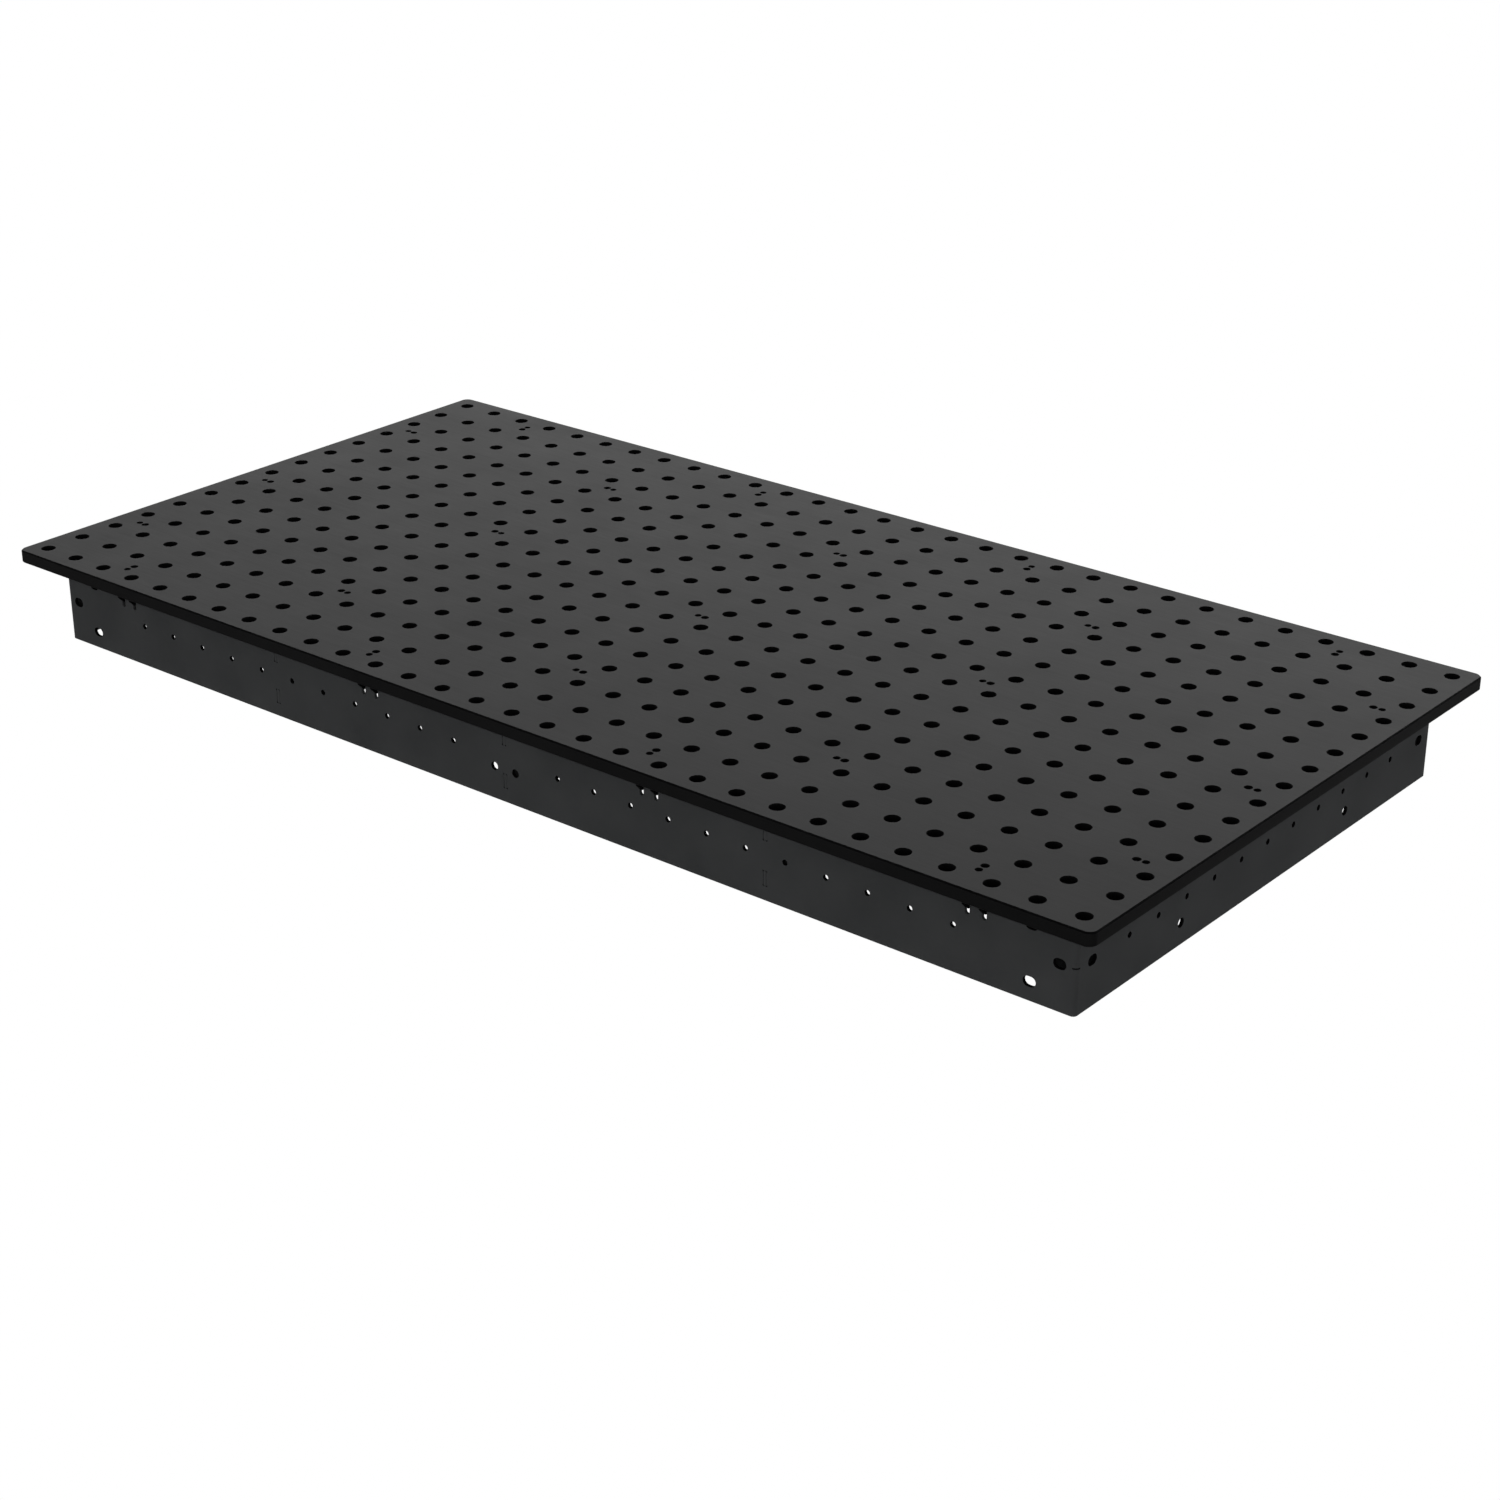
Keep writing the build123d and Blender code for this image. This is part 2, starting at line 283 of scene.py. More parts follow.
def remap(nodes, links, value, low, high, fromLow=0.3, fromHigh=0.7):
    change = nodes.new("ShaderNodeMapRange")
    change.inputs["From Min"].default_value = fromLow
    change.inputs["From Max"].default_value = fromHigh
    change.inputs["To Min"].default_value = low
    change.inputs["To Max"].default_value = high
    links.new(value, change.inputs["Value"])
    return change.outputs["Result"]


def maths(nodes, links, operation, a, b):
    step = nodes.new("ShaderNodeMath")
    step.operation = operation
    for socket, value in zip(step.inputs, (a, b)):
        if isinstance(value, (int, float)):
            socket.default_value = value
        else:
            links.new(value, socket)
    return step.outputs[0]


def shadeBetween(nodes, links, value, dark, light):
    ramp = nodes.new("ShaderNodeValToRGB")
    ramp.color_ramp.elements[0].position = 0.3
    ramp.color_ramp.elements[1].position = 0.7
    ramp.color_ramp.elements[0].color = (*dark, 1)
    ramp.color_ramp.elements[1].color = (*light, 1)
    links.new(value, ramp.inputs["Fac"])
    return ramp.outputs["Color"]


def addBump(nodes, links, shader, height, distance, strength=1.0):
    bump = nodes.new("ShaderNodeBump")
    bump.inputs["Distance"].default_value = distance
    bump.inputs["Strength"].default_value = strength
    links.new(height, bump.inputs["Height"])
    links.new(bump.outputs["Normal"], shader.inputs["Normal"])


plateLook = {
    "dark": (0.0065, 0.0065, 0.0067), "light": (0.0095, 0.0095, 0.0098),
    "roughness": 0.42, "roughnessSpread": 0.05, "gloss": 0.28,
    "mottleScale": 9.0, "grainScale": 260.0, "lineStretch": (1.2, 60.0, 60.0),
}
frameLook = {
    "dark": (0.070, 0.073, 0.075), "light": (0.088, 0.091, 0.093),
    "roughness": 0.52, "roughnessSpread": 0.06, "gloss": 0.3,
    "mottleScale": 14.0, "peelScale": 900.0,
}
# painted shade: near-black colours standing in for the shade inside holes
holeShadeLook = {
    "dark": (0.004, 0.004, 0.0042), "light": (0.007, 0.007, 0.0074),
    "roughness": 0.7, "roughnessSpread": 0.08, "gloss": 0.04, "mottleScale": 60.0,
}
fastenerLook = {
    "dark": (0.012, 0.012, 0.013), "light": (0.03, 0.03, 0.033),
    "roughness": 0.36, "roughnessSpread": 0.1, "gloss": 0.5, "mottleScale": 220.0,
}


# Blackened plate: slow mottling, a fine blasted grain and faint lines left by grinding along the table.
def plateMaterial():
    look = plateLook
    material, nodes, links, shader = newMaterial("blackened_plate", look)
    mottle = noiseAt(nodes, links, look["mottleScale"], 5.0, rough=0.6)
    links.new(shadeBetween(nodes, links, mottle, look["dark"], look["light"]), shader.inputs["Base Color"])
    lines = noiseAt(nodes, links, 14.0, 4.0, look["lineStretch"], 0.65)
    grain = noiseAt(nodes, links, look["grainScale"], 3.0)
    blend = maths(nodes, links, "ADD", maths(nodes, links, "MULTIPLY", lines, 0.6),
                  maths(nodes, links, "MULTIPLY", mottle, 0.4))
    spread = look["roughnessSpread"]
    links.new(remap(nodes, links, blend, look["roughness"] - spread, look["roughness"] + spread),
              shader.inputs["Roughness"])
    height = maths(nodes, links, "ADD", grain, maths(nodes, links, "MULTIPLY", lines, 0.7))
    addBump(nodes, links, shader, height, 0.00002)
    return material


# Powder coat: an orange peel skin with a slight change of shade from place to place.
def frameMaterial():
    look = frameLook
    material, nodes, links, shader = newMaterial("powder_coat", look)
    mottle = noiseAt(nodes, links, look["mottleScale"], 4.0)
    links.new(shadeBetween(nodes, links, mottle, look["dark"], look["light"]), shader.inputs["Base Color"])
    peel = noiseAt(nodes, links, look["peelScale"], 2.0)
    spread = look["roughnessSpread"]
    links.new(remap(nodes, links, mottle, look["roughness"] - spread, look["roughness"] + spread),
              shader.inputs["Roughness"])
    addBump(nodes, links, shader, peel, 0.00003)
    return material


# Black oxide on turned steel: darker and lighter by patches, with a fine tooth.
def fastenerMaterial():
    look = fastenerLook
    material, nodes, links, shader = newMaterial("black_oxide", look)
    mottle = noiseAt(nodes, links, look["mottleScale"], 4.0)
    links.new(shadeBetween(nodes, links, mottle, look["dark"], look["light"]), shader.inputs["Base Color"])
    spread = look["roughnessSpread"]
    links.new(remap(nodes, links, mottle, look["roughness"] + spread, look["roughness"] - spread),
              shader.inputs["Roughness"])
    addBump(nodes, links, shader, noiseAt(nodes, links, 2600.0, 2.0), 0.00001)
    return material


# Painted shade for the walls of holes: a near-black colour standing in for the shade inside the bores, dull
# and almost without sheen.
def holeShadeMaterial():
    look = holeShadeLook
    material, nodes, links, shader = newMaterial("hole_painted_shade", look)
    mottle = noiseAt(nodes, links, look["mottleScale"], 3.0)
    links.new(shadeBetween(nodes, links, mottle, look["dark"], look["light"]), shader.inputs["Base Color"])
    spread = look["roughnessSpread"]
    links.new(remap(nodes, links, mottle, look["roughness"] + spread, look["roughness"] - spread),
              shader.inputs["Roughness"])
    addBump(nodes, links, shader, noiseAt(nodes, links, 900.0, 2.0), 0.00003)
    return material


plateFinish = plateMaterial()
holeShadeFinish = holeShadeMaterial()
frameFinish = frameMaterial()
fastenerFinish = fastenerMaterial()
print("materials made")


# ---- support points ----

# Each support is the place of a pull bolt and the way in from its wall; a levelling screw stands
# pushToPull back from it, over the wall or rib.
supports = {
    "pushToPull": 10, "wallToPull": 8.5, "ribToPull": 8, "outerFaceToPull": 12.5,
    "alongWall": (-600, -200, 200, 600), "alongEnd": (-225, -25, 225), "alongOuterRib": (-225, 25, 225),
    "ribs": (-350, 0, 350), "pullHole": 8.1, "pushHole": 7.0,
}
wallY = halfWidth - supports["outerFaceToPull"]
endX = halfLength - supports["outerFaceToPull"]
ribStep = supports["pushToPull"]
leftRib, middleRib, rightRib = supports["ribs"]
groups = {
    "front_wall": [((x, -wallY), (0, 1)) for x in supports["alongWall"]],
    "back_wall": [((x, wallY), (0, -1)) for x in supports["alongWall"]],
    "left_end": [((-endX, y), (1, 0)) for y in supports["alongEnd"]],
    "right_end": [((endX, y), (-1, 0)) for y in supports["alongEnd"]],
    "left_rib": [((leftRib - ribStep, y), (-1, 0)) for y in supports["alongOuterRib"]],
    "middle_rib": [((middleRib + ribStep, y), (1, 0)) for y in supports["alongEnd"]],
    "right_rib": [((rightRib + ribStep, y), (1, 0)) for y in supports["alongOuterRib"]],
}
pullPlaces = [place for group in groups.values() for place in group]
pushPlaces = [((x - ribStep * ax, y - ribStep * ay), (ax, ay)) for (x, y), (ax, ay) in pullPlaces]


def atHeight(places, z):
    return [((x, y, z), across) for (x, y), across in places]


# ---- top plate ----

plate = {
    "cornerRadius": 10, "cornerPoints": 12, "topEdge": 1.5, "underEdge": 1.0, "mouth": 0.5,
    "holePoints": 28, "smallHolePoints": 16,
}


def plateShape():
    pitch = mountSize("fixture_grid_cell", "spacing_x_mm")
    reachX = mountSize("fixture_grid_corners", "spacing_x_mm") / 2
    reachY = mountSize("fixture_grid_corners", "spacing_y_mm") / 2
    diameter = 2 * mountSize("fixture_grid_cell", "hole_r_mm")
    halfX, halfY = plateHigh[:2]
    r, n = plate["cornerRadius"], plate["cornerPoints"]
    outer = np.vstack((arc(halfX - r, r - halfY, r, -90, 0, n), arc(halfX - r, halfY - r, r, 0, 90, n),
                       arc(r - halfX, halfY - r, r, 90, 180, n), arc(r - halfX, r - halfY, r, 180, 270, n)))
    holes = [circle(x, y, diameter, plate["holePoints"])
             for x in np.arange(-reachX, reachX + 1, pitch) for y in np.arange(-reachY, reachY + 1, pitch)]
    small = plate["smallHolePoints"]
    holes += [circle(x, y, supports["pullHole"], small) for (x, y), _ in pullPlaces]
    holes += [circle(x, y, supports["pushHole"], small) for (x, y), _ in pushPlaces]
    thickness = plateHigh[2] - plateLow[2]
    outerRim = bevelRim(thickness, plate["topEdge"], plate["underEdge"])
    holeRim = bevelRim(thickness, plate["mouth"], plate["mouth"])

    def place(across, along, depth):
        return np.column_stack((across, along, plateHigh[2] - depth))

    return cutSheet(outer, holes, outerRim, holeRim, place)


# the plate's hole walls and its top edge chamfer take the painted shade
makePiece("drilled_plate", plateShape(), plateFinish, "plate_black", "top_plate",
          holeShadeFinish=holeShadeFinish, shadeTopEdge=True)


# ---- bent skirts ----

skirt = {
    "bendRadius": 5, "bendPoints": 7, "mitrePoints": 4, "slitHeight": 1, "edge": 0.25,
    "rowHolePoints": 20, "bigHolePoints": 28, "tabHeight": 15.5, "tabBottoms": (16.5, 66),
    "slotCorner": 0.8, "slotCornerPoints": 7,
    "reliefWidth": 5.2, "reliefOffset": 9.6, "reliefBottom": 65.6, "reliefPoints": 12,
}
bendRadius = skirt["bendRadius"]
halfBend = bendRadius * math.pi / 4          # from the mitred end to the front wall, round the outside
frontRun = 2 * (halfLength - bendRadius)
endRun = 2 * (halfWidth - bendRadius)
frontEnd = halfBend + frontRun
endStart = frontEnd + 2 * halfBend
endEnd = endStart + endRun


def onFront(x):  # distance along the unrolled sheet of a place on the front wall
    return halfBend + x + halfLength - bendRadius


def onEnd(y):
    return endStart + y + halfWidth - bendRadius


# The bent sheet, by the way its outside faces: heading is an eighth of a turn short of the front at
# the mitred start, 0 along the front wall, a quarter turn along the end, and an eighth more at the
# far mitre. Point = centre + (bend radius - depth) * (sin heading, -cos heading), where the centre
# stays put round a bend and travels with the point along a flat wall.
def foldSkirt(across, along, depth):
    heading = (np.clip((across - halfBend) / bendRadius, -np.pi / 4, 0)
               + np.clip((across - frontEnd) / bendRadius, 0, np.pi / 2)
               + np.clip((across - endEnd) / bendRadius, 0, np.pi / 4))
    centreX = bendRadius - halfLength + np.clip(across - halfBend, 0, frontRun)
    centreY = bendRadius - halfWidth + np.clip(across - endStart, 0, endRun)
    radius = bendRadius - depth
    return np.column_stack((centreX + radius * np.sin(heading), centreY - radius * np.cos(heading), along))


# A tab slot with a small round relief at each corner.
def tabSlot(across, bottom):
    h, r, half = skirt["tabHeight"], skirt["slotCorner"], sheet / 2
    n = skirt["slotCornerPoints"]
    return np.vstack((arc(across + half, bottom, r, 180, 450, n),
                      arc(across + half, bottom + h, r, 270, 540, n),
                      arc(across - half, bottom + h, r, 0, 270, n),
                      arc(across - half, bottom, r, 90, 360, n)))


# A relief slot, walked from right to left along the top edge: down, round the lower end, and up.
def reliefNotch(across):
    r = skirt["reliefWidth"] / 2
    low = skirt["reliefBottom"] + r
    lowerEnd = arc(across, low, r, 0, -180, skirt["reliefPoints"])
    return np.vstack(((across + r, frameHeight), lowerEnd, (across - r, frameHeight)))


def slottedHole(mountName, across, height, n):
    return obround(across, height, mountSize(mountName, "slot_length_mm"),
                   2 * mountSize(mountName, "hole_r_mm"), n)


def pairHole(mountName, onWall, side, n):
    across = onWall(side * mountSize(mountName, "spacing_x_mm") / 2)
    return circle(across, mountAt(mountName)[2], 2 * mountSize(mountName, "hole_r_mm"), n)


def skirtHoles():
    holes = []
    rowHole = 2 * mountSize("front_row_outer_holes", "hole_r_mm")
    reach = mountSize("front_row_outer_holes", "spacing_x_mm") / 2
    pitch = mountSize("fixture_grid_cell", "spacing_x_mm")
    n = skirt["rowHolePoints"]
    holes += [circle(onFront(x), midHeight, rowHole, n)
              for x in np.arange(-reach, reach + 1, pitch) if abs(x) > 1.1 * pitch]
    reach = mountSize("right_row_outer_holes", "spacing_x_mm") / 2
    holes += [circle(onEnd(y), midHeight, rowHole, n) for y in np.arange(-reach, reach + 1, pitch)]
    n = skirt["bigHolePoints"]
    for side in (-1, 1):
        legX = mountSize("front_leg_bolts", "spacing_x_mm") / 2
        for z in (-0.5, 0.5):
            height = mountAt("front_leg_bolts")[2] + z * mountSize("front_leg_bolts", "spacing_y_mm")
            holes.append(slottedHole("front_leg_bolts", onFront(side * legX), height, n))
        corner = mountSize("front_corner_holes", "spacing_x_mm") / 2
        holes.append(slottedHole("front_corner_holes", onFront(side * corner), midHeight, n))
        corner = mountSize("right_end_corner_holes", "spacing_x_mm") / 2
        holes.append(slottedHole("right_end_corner_holes", onEnd(side * corner), midHeight, n))
        holes.append(pairHole("front_middle_holes", onFront, side, n))
        holes.append(pairHole("right_end_low_pair", onEnd, side, n))
    holes += [tabSlot(onFront(x), bottom) for x in supports["ribs"] for bottom in skirt["tabBottoms"]]
    return holes


def skirtShape(endSupports):
    bends = frontEnd + 2 * halfBend * np.linspace(0, 1, skirt["bendPoints"])
    mitre = halfBend * np.linspace(0, 1, skirt["mitrePoints"])
    folds = np.concatenate((mitre, bends, endEnd + mitre))
    offset = skirt["reliefOffset"]
    notches = [onFront(x) + o for x in supports["alongWall"] for o in (-offset, offset)]
    notches += [onEnd(y) + o for y in endSupports for o in (-offset, offset)]
    tops = [(across, reliefNotch(across)) for across in notches]
    tops += [(across, [(across, frameHeight)]) for across in folds]
    topEdge = [points for _, points in sorted(tops, key=lambda item: -item[0])]
    outer = np.vstack([np.column_stack((folds, 0 * folds))] + topEdge)
    half = skirt["slitHeight"] / 2
    slit = np.vstack((np.column_stack((bends, 0 * bends + midHeight - half)),
                      np.column_stack((bends[::-1], 0 * bends + midHeight + half))))
    holes = [slit] + skirtHoles()

    # creases run up each fold line, and at the front right bend they stop either side of the slit
    low = np.arange(len(folds))
    high = np.array([np.flatnonzero((np.abs(outer[:, 0] - f) < 1e-6) & (outer[:, 1] > midHeight))[0]
                     for f in folds])
    main = slice(len(mitre), len(mitre) + len(bends))
    slitLow = len(outer) + np.arange(len(bends))
    slitHigh = len(outer) + 2 * len(bends) - 1 - np.arange(len(bends))
    mitred = np.r_[1:len(mitre), len(folds) - len(mitre):len(folds) - 1]
    creases = np.vstack((np.column_stack((low[mitred], high[mitred])),
                         np.column_stack((low[main], slitLow)), np.column_stack((slitHigh, high[main]))))
    rim = bevelRim(sheet, skirt["edge"], skirt["edge"])
    return cutSheet(outer, holes, rim, rim, foldSkirt, creases)


def halfTurn(shape):
    return {**shape, "points": shape["points"] * (-1, -1, 1)}


# the walls of the skirts' holes and slots take the painted shade
makePiece("front_right_bent_skirt", skirtShape(supports["alongEnd"]), frameFinish, "frame_black",
          "front_right_skirt", holeShadeFinish=holeShadeFinish)
makePiece("back_left_bent_skirt", halfTurn(skirtShape([-y for y in supports["alongEnd"]])), frameFinish,
          "frame_black", "back_left_skirt", holeShadeFinish=holeShadeFinish)


# ---- ribs, braces and lugs ----

rib = {"windowLength": 80, "windowHeight": 44, "windowSpacing": 125, "windowCount": 5, "windowZ": 47,
       "windowPoints": 14, "edge": 0.25}


def ribShape(ribX):
    inner = halfWidth - sheet
    right = [(inner, 0)]
    for bottom in skirt["tabBottoms"]:
        top = bottom + skirt["tabHeight"]
        right += [(inner, bottom), (halfWidth, bottom), (halfWidth, top), (inner, top)]
    right.append((inner, frameHeight))
    right = np.array(right, float)
    outer = np.vstack((right, right[::-1] * (-1, 1)))
    r = rib["windowHeight"] / 2
    half = rib["windowLength"] / 2 - r
    places = (np.arange(rib["windowCount"]) - (rib["windowCount"] - 1) / 2) * rib["windowSpacing"]
    z, n = rib["windowZ"], rib["windowPoints"]
    holes = [np.vstack((arc(y + half, z, r, -90, 90, n), arc(y - half, z, r, 90, 270, n))) for y in places]
    rim = bevelRim(sheet, rib["edge"], rib["edge"])

    def place(across, along, depth):
        return np.column_stack((ribX + sheet / 2 - depth, across, along))

    return cutSheet(outer, holes, rim, rim, place)


for ribName, ribX in zip(("left_rib", "middle_rib", "right_rib"), supports["ribs"]):
    makePiece(ribName + "_plate", ribShape(ribX), frameFinish, "frame_black", ribName)


# A brace across a corner: a flat plate at 45 degrees whose ends widen with depth to meet both walls.
def braceShape(sideX, sideY):
    low, high = nodeBox("front_right_brace")
    length = (high[0] - low[0]) * math.sqrt(2) - 2 * sheet
    middleX = halfLength - sheet - length / math.sqrt(8)
    middleY = halfWidth - sheet - length / math.sqrt(8)
    half = length / 2
    outer = np.array([(-half, low[2]), (half, low[2]), (half, high[2]), (-half, high[2])])
    rim = bevelRim(sheet, rib["edge"], rib["edge"])

    def place(across, along, depth):
        u = across * (half + depth) / half / math.sqrt(2)
        w = depth / math.sqrt(2)
        return np.column_stack((sideX * (middleX + u - w), sideY * (middleY - u - w), along))

    return cutSheet(outer, [], rim, rim, place)


corners = {"front_left": (-1, -1), "front_right": (1, -1), "back_left": (-1, 1), "back_right": (1, 1)}
for cornerName, sides in corners.items():
    makePiece(cornerName + "_corner_brace", braceShape(*sides), frameFinish, "frame_black",
              cornerName + "_brace")

lug = {"width": 24, "depth": 20, "corner": 5, "hole": 9, "edge": 0.4, "cornerPoints": 6, "holePoints": 24,
       "earThickness": 4.4, "earDepth": 11, "earReach": 6.4}


def lugShape(gap):
    halfWide, r, n = lug["width"] / 2, lug["corner"], lug["cornerPoints"]
    far = lug["depth"] - gap
    outer = np.vstack(([(-gap, -halfWide)], arc(far - r, r - halfWide, r, -90, 0, n),
                       arc(far - r, halfWide - r, r, 0, 90, n), [(-gap, halfWide)]))
    thickness = lugHigh[2] - lugLow[2]
    rim = bevelRim(thickness, lug["edge"], lug["edge"])

    def place(across, along, depth):
        return np.column_stack((across, along, thickness - depth))

    return cutSheet(outer, [circle(0, 0, lug["hole"], lug["holePoints"])], rim, rim, place)


# A gusset under a wall lug, out through its relief slot, with both lower sides at 45 degrees.
def earShape(side):
    gap, depth, reach = supports["wallToPull"], lug["earDepth"], lug["earReach"]
    tip = -gap - sheet - reach
    outer = np.array([(tip, 0), (tip, reach - depth), (tip + reach, -depth), (-gap, -depth),
                      (depth - gap, 0)])
    rim = bevelRim(lug["earThickness"], lug["edge"], lug["edge"])

    def place(across, along, sideways):
        middle = side * skirt["reliefOffset"]
        return np.column_stack((across, middle + lug["earThickness"] / 2 - sideways, along))

    return cutSheet(outer, [], rim, rim, place)


for groupName, places in groups.items():
    onRib = "rib" in groupName
    single = lugShape(supports["ribToPull"] if onRib else supports["wallToPull"])
    if not onRib:
        for side in (-1, 1):
            single = addShape(single, earShape(side))
    shape = copiesAt(single, atHeight(places, lugLow[2]))
    # the wall lugs and their gussets take the painted shade, near-black standing in for the shade under the
    # plate's overhang
    makePiece(groupName + "_hold_down_lugs", shape, frameFinish if onRib else holeShadeFinish,
              "frame_black", groupName + "_lugs")
print("frame made")


# ---- fasteners ----

screw = {"pitch": 1.25, "threadDepth": 0.6, "rowsPerTurn": 4, "points": 18,
         "boltLength": 25, "boltRadius": 4, "headRadius": 6.5, "headHeight": 8,
         "socket": 3, "socketDepth": 4.5,
         "screwRadius": 3.45, "screwLength": 10, "screwSocket": 2, "washerRadius": 6.35,
         "washerThickness": 2}


# A turned shape. Each ring is (radius, height, how hexagonal it is): a hexagon's radius is the
# radius to its flats over the cosine of the angle from the nearest flat's middle.
def turnedRings(steps):
    radius, height, hexagon = np.array(steps, float).T
    a = np.arange(screw["points"]) * 2 * np.pi / screw["points"]
    fromFlat = np.cos((a + np.pi / 6) % (np.pi / 3) - np.pi / 6)
    r = radius[:, None] * (1 + hexagon[:, None] * (1 / fromFlat[None] - 1))
    return np.stack((r * np.cos(a), r * np.sin(a), np.broadcast_to(height[:, None], r.shape)), -1)


# A thread: radius falls by the depth times a triangle wave of height over pitch less angle over a turn.
def threadRings(radius, low, high):
    rows = int(round((high - low) / screw["pitch"] * screw["rowsPerTurn"])) + 1
    z = np.linspace(low, high, rows)[:, None]
    a = (np.arange(screw["points"]) * 2 * np.pi / screw["points"])[None]
    wave = np.abs(2 * ((z / screw["pitch"] - a / (2 * np.pi)) % 1) - 1)
    r = radius - screw["threadDepth"] * wave
    return np.stack((r * np.cos(a), r * np.sin(a), np.broadcast_to(z, r.shape)), -1)


def boltShape():
    s, r, h = screw["socket"], screw["headRadius"], screw["headHeight"]
    floor = screw["socketDepth"] - h
    head = turnedRings([(0.3, floor - 0.6, 0), (s, floor, 1), (s, 0.3 - h, 1), (s + 0.3, -h, 1),
                        (r - 0.8, -h, 0), (r - 0.2, 0.2 - h, 0), (r, 0.9 - h, 0), (r, -0.5, 0),
                        (r - 0.4, 0, 0), (screw["boltRadius"], 0, 0), (screw["boltRadius"], 6, 0)])
    thread = threadRings(screw["boltRadius"], 6.2, screw["boltLength"] - 0.8)
    tip = turnedRings([(screw["boltRadius"] - 0.9, screw["boltLength"], 0)])
    return loftRings(np.concatenate((head, thread, tip)))


def levellingScrewShape():
    s, length, r = screw["screwSocket"], screw["screwLength"], screw["screwRadius"]
    point = turnedRings([(r - 1.3, 0, 0)])
    thread = threadRings(r, 0.9, length - 0.4)
    head = turnedRings([(r - 0.5, length, 0), (s + 0.2, length, 1), (s, length - 0.3, 1),
                        (s, length - screw["socketDepth"], 1), (0.3, length - screw["socketDepth"] - 0.5, 0)])
    return loftRings(np.concatenate((point, thread, head)))


# A split ring: a rounded square section carried round the bolt, stopping short of a full turn.
def lockWasherShape():
    inner, outer, t = screw["boltRadius"] + 0.02, screw["washerRadius"], screw["washerThickness"]
    c = 0.25
    r = np.array([inner, inner + c, outer - c, outer, outer, outer - c, inner + c, inner])
    z = np.array([c, 0, 0, c, t - c, t, t, t - c])
    a = np.radians(np.linspace(8, 352, 28))[:, None]
    slant = (z / t - 0.5)[None] * 0.28
    height = np.broadcast_to(z, (len(a), len(z)))
    return loftRings(np.stack((r * np.cos(a + slant), r * np.sin(a + slant), height), -1))


seat = lugLow[2] - screw["washerThickness"]
makePiece("socket_head_bolts", copiesAt(boltShape(), atHeight(pullPlaces, seat)), fastenerFinish,
          "fastener_black", "hold_down_bolts")
makePiece("spring_lock_washers", copiesAt(lockWasherShape(), atHeight(pullPlaces, seat)), fastenerFinish,
          "fastener_black", "lock_washers")
makePiece("levelling_set_screws", copiesAt(levellingScrewShape(), atHeight(pushPlaces, plateLow[2])),
          fastenerFinish, "fastener_black", "levelling_screws")


# ---- welds ----

weld = {"leg": 4, "lugLeg": 2.5, "lugLength": 12, "stitch": 25, "endGap": 5, "ripple": 1.6,
        "rippleHeight": 0.16, "bulge": 0.35, "steps": 9, "rowLength": 0.5}


# A fillet bead along a corner. Across it u goes from one wall to the other, and along it v:
# point = root + leg * ((1 - u) * wayA + u * wayB) + outwards * (bulge * sin(pi u) + ripples),
# each ripple curved back in the middle like a crescent, and both ends rounded off.
def beadShape(root, wayA, wayB, along, length, leg):
    rows = max(8, int(length / weld["rowLength"]))
    v = np.linspace(0, length, rows)[:, None]
    u = np.linspace(0, 1, weld["steps"])[None]
    wayA, wayB, along = (np.array(way, float) for way in (wayA, wayB, along))
    outwards = (wayA + wayB) / np.linalg.norm(wayA + wayB)
    fromEnd = np.minimum(v, length - v) / (0.8 * leg)
    full = np.sqrt(np.clip(1 - (1 - np.clip(fromEnd, 0.02, 1)) ** 2, 0, 1))
    crown = np.sin(np.pi * u)
    phase = (v / weld["ripple"] + 0.55 * crown) % 1
    lift = crown * leg / weld["leg"] * (weld["bulge"] + weld["rippleHeight"] * (1 - (2 * phase - 1) ** 2))
    flat = leg * ((1 - u)[..., None] * wayA + u[..., None] * wayB)
    skin = full[..., None] * (flat + lift[..., None] * outwards) + v[..., None] * along
    corner = v[..., None] * along
    return loftRings(np.array(root, float) + np.concatenate((skin, corner), 1))


up = (0, 0, 1)


def ribBeads():
    total = newShape()
    for x in supports["ribs"]:
        for sideX in (-1, 1):
            for sideY in (-1, 1):
                for z in (weld["endGap"], frameHeight - weld["endGap"] - weld["stitch"]):
                    root = (x + sideX * sheet / 2, sideY * (halfWidth - sheet), z)
                    addShape(total, beadShape(root, (sideX, 0, 0), (0, -sideY, 0), up, weld["stitch"],
                                              weld["leg"]))
    return total


def seamBeads():
    total = newShape()
    for side in (-1, 1):
        root = (side * (halfLength - sheet), side * (halfWidth - sheet), weld["endGap"])
        length = frameHeight - 2 * weld["endGap"]
        addShape(total, beadShape(root, (-side, 0, 0), (0, -side, 0), up, length, weld["leg"]))
    return total


def braceBeads():
    low, high = nodeBox("front_right_brace")
    total = newShape()
    half = math.sqrt(0.5)
    length = high[2] - low[2] - 2 * weld["endGap"]
    for sideX, sideY in corners.values():
        wall = (sideX * low[0], sideY * (halfWidth - sheet), low[2] + weld["endGap"])
        end = (sideX * (halfLength - sheet), -sideY * high[1], low[2] + weld["endGap"])
        addShape(total, beadShape(wall, (-sideX, 0, 0), (sideX * half, -sideY * half, 0), up, length,
                                  weld["leg"]))
        addShape(total, beadShape(end, (0, -sideY, 0), (-sideX * half, sideY * half, 0), up, length,
                                  weld["leg"]))
    return total


def lugBeads():
    total = newShape()
    for groupName, places in groups.items():
        gap = supports["ribToPull"] if "rib" in groupName else supports["wallToPull"]
        for (x, y), (ax, ay) in places:
            half = weld["lugLength"] / 2
            root = (x - gap * ax - half * ay, y - gap * ay + half * ax, lugHigh[2])
            addShape(total, beadShape(root, (ax, ay, 0), up, (ay, -ax, 0), weld["lugLength"],
                                      weld["lugLeg"]))
    return total


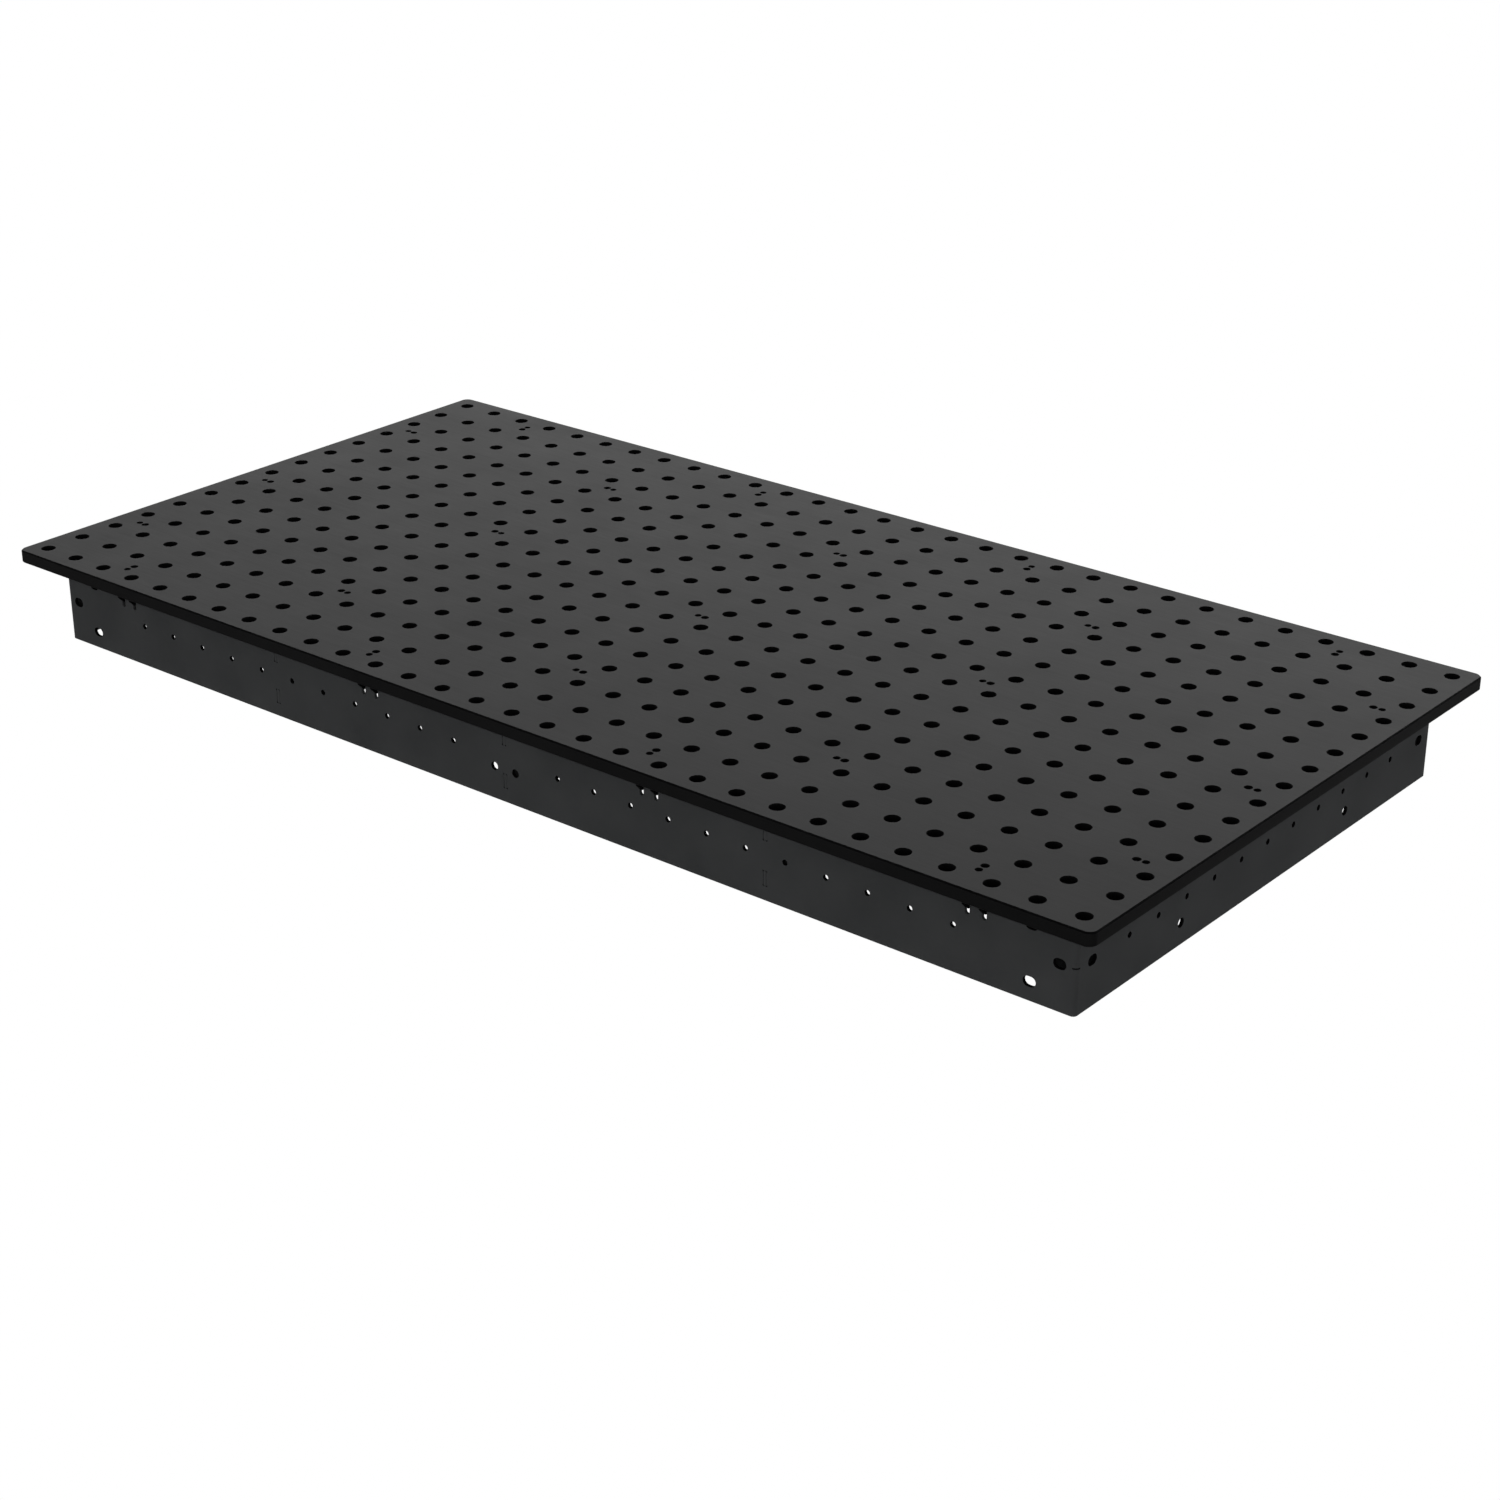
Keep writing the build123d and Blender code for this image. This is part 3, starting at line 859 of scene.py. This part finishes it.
makePiece("rib_weld_beads", ribBeads(), frameFinish, "weld_bead", "rib_welds")
makePiece("corner_seam_weld_beads", seamBeads(), frameFinish, "weld_bead", "corner_seam_welds")
makePiece("brace_weld_beads", braceBeads(), frameFinish, "weld_bead", "brace_welds")
makePiece("lug_weld_beads", lugBeads(), frameFinish, "weld_bead", "lug_welds")
print("fasteners and welds made")


# ---- floor, light and camera ----

studio = {"floorSize": 400.0, "floorGap": 0.0005, "floorShine": 1.0, "horizon": 1.0, "zenith": 0.1,
          "below": 0.05, "front": 1.06, "side": 0.45, "back": 1.85}


def makeFloor():
    half = studio["floorSize"] / 2
    mesh = bpy.data.meshes.new("floor")
    z = -studio["floorGap"]
    corners = [(-half, -half, z), (half, -half, z), (half, half, z), (-half, half, z)]
    mesh.from_pydata(corners, [], [(0, 1, 2, 3)])
    material = bpy.data.materials.new("pale_floor")
    material.use_nodes = True
    shader = material.node_tree.nodes["Principled BSDF"]
    shader.inputs["Base Color"].default_value = (0, 0, 0, 1)
    shader.inputs["Specular IOR Level"].default_value = 0.0
    shader.inputs["Emission Color"].default_value = (1, 1, 1, 1)
    shader.inputs["Emission Strength"].default_value = studio["floorShine"]
    mesh.materials.append(material)
    floor = bpy.data.objects.new("floor", mesh)
    bpy.context.scene.collection.objects.link(floor)
    floor.visible_diffuse = False    # the floor only fills the view: the room's own light does the rest
    floor.visible_glossy = False
    floor.visible_shadow = False


# A soft room: bright round the horizon, dimmer overhead, dark below.
def makeRoom():
    world = bpy.data.worlds.new("soft_room")
    bpy.context.scene.world = world
    world.use_nodes = True
    nodes, links = world.node_tree.nodes, world.node_tree.links
    where = nodes.new("ShaderNodeTexCoord")
    split = nodes.new("ShaderNodeSeparateXYZ")
    ramp = nodes.new("ShaderNodeValToRGB")
    links.new(where.outputs["Generated"], split.inputs["Vector"])
    links.new(remap(nodes, links, split.outputs["Z"], 0, 1, -1, 1), ramp.inputs["Fac"])
    stops = ((0.0, studio["below"]), (0.485, studio["below"]), (0.5, studio["horizon"]),
             (0.61, studio["horizon"]), (0.8, studio["zenith"]), (1.0, studio["zenith"]))
    elements = ramp.color_ramp.elements
    for position, _ in stops[1:-1]:
        elements.new(position)
    for element, (position, value) in zip(elements, stops):
        element.position = position
        element.color = (value, value, value, 1)
    links.new(ramp.outputs["Color"], nodes["Background"].inputs["Color"])

    # the room is brightest behind the table, and dimmest at its left and right
    sides = nodes.new("ShaderNodeValToRGB")
    links.new(remap(nodes, links, split.outputs["Y"], 0, 1, -1, 1), sides.inputs["Fac"])
    stops = ((0.0, studio["front"]), (0.3, studio["front"]), (0.6, studio["side"]), (1.0, studio["back"]))
    elements = sides.color_ramp.elements
    for position, _ in stops[1:-1]:
        elements.new(position)
    for element, (position, value) in zip(elements, stops):
        element.position = position
        element.color = (value, value, value, 1)
    links.new(sides.outputs["Color"], nodes["Background"].inputs["Strength"])


view = {"place": (1.942375, -2.300641, 1.320435), "tip": 65.1392, "turn": 39.5122, "lens": 69.727,
        "sensor": 36, "shift": (0.00412, 0.00823)}


def makeCamera():
    data = bpy.data.cameras.new("camera")
    data.lens = view["lens"]
    data.sensor_width = view["sensor"]
    data.shift_x, data.shift_y = view["shift"]
    data.clip_end = 500
    camera = bpy.data.objects.new("camera", data)
    bpy.context.scene.collection.objects.link(camera)
    camera.location = view["place"]
    camera.rotation_euler = (math.radians(view["tip"]), 0, math.radians(view["turn"]))
    bpy.context.scene.camera = camera


makeFloor()
makeRoom()
makeCamera()
bpy.context.scene.view_settings.view_transform = "Standard"
print("studio made")
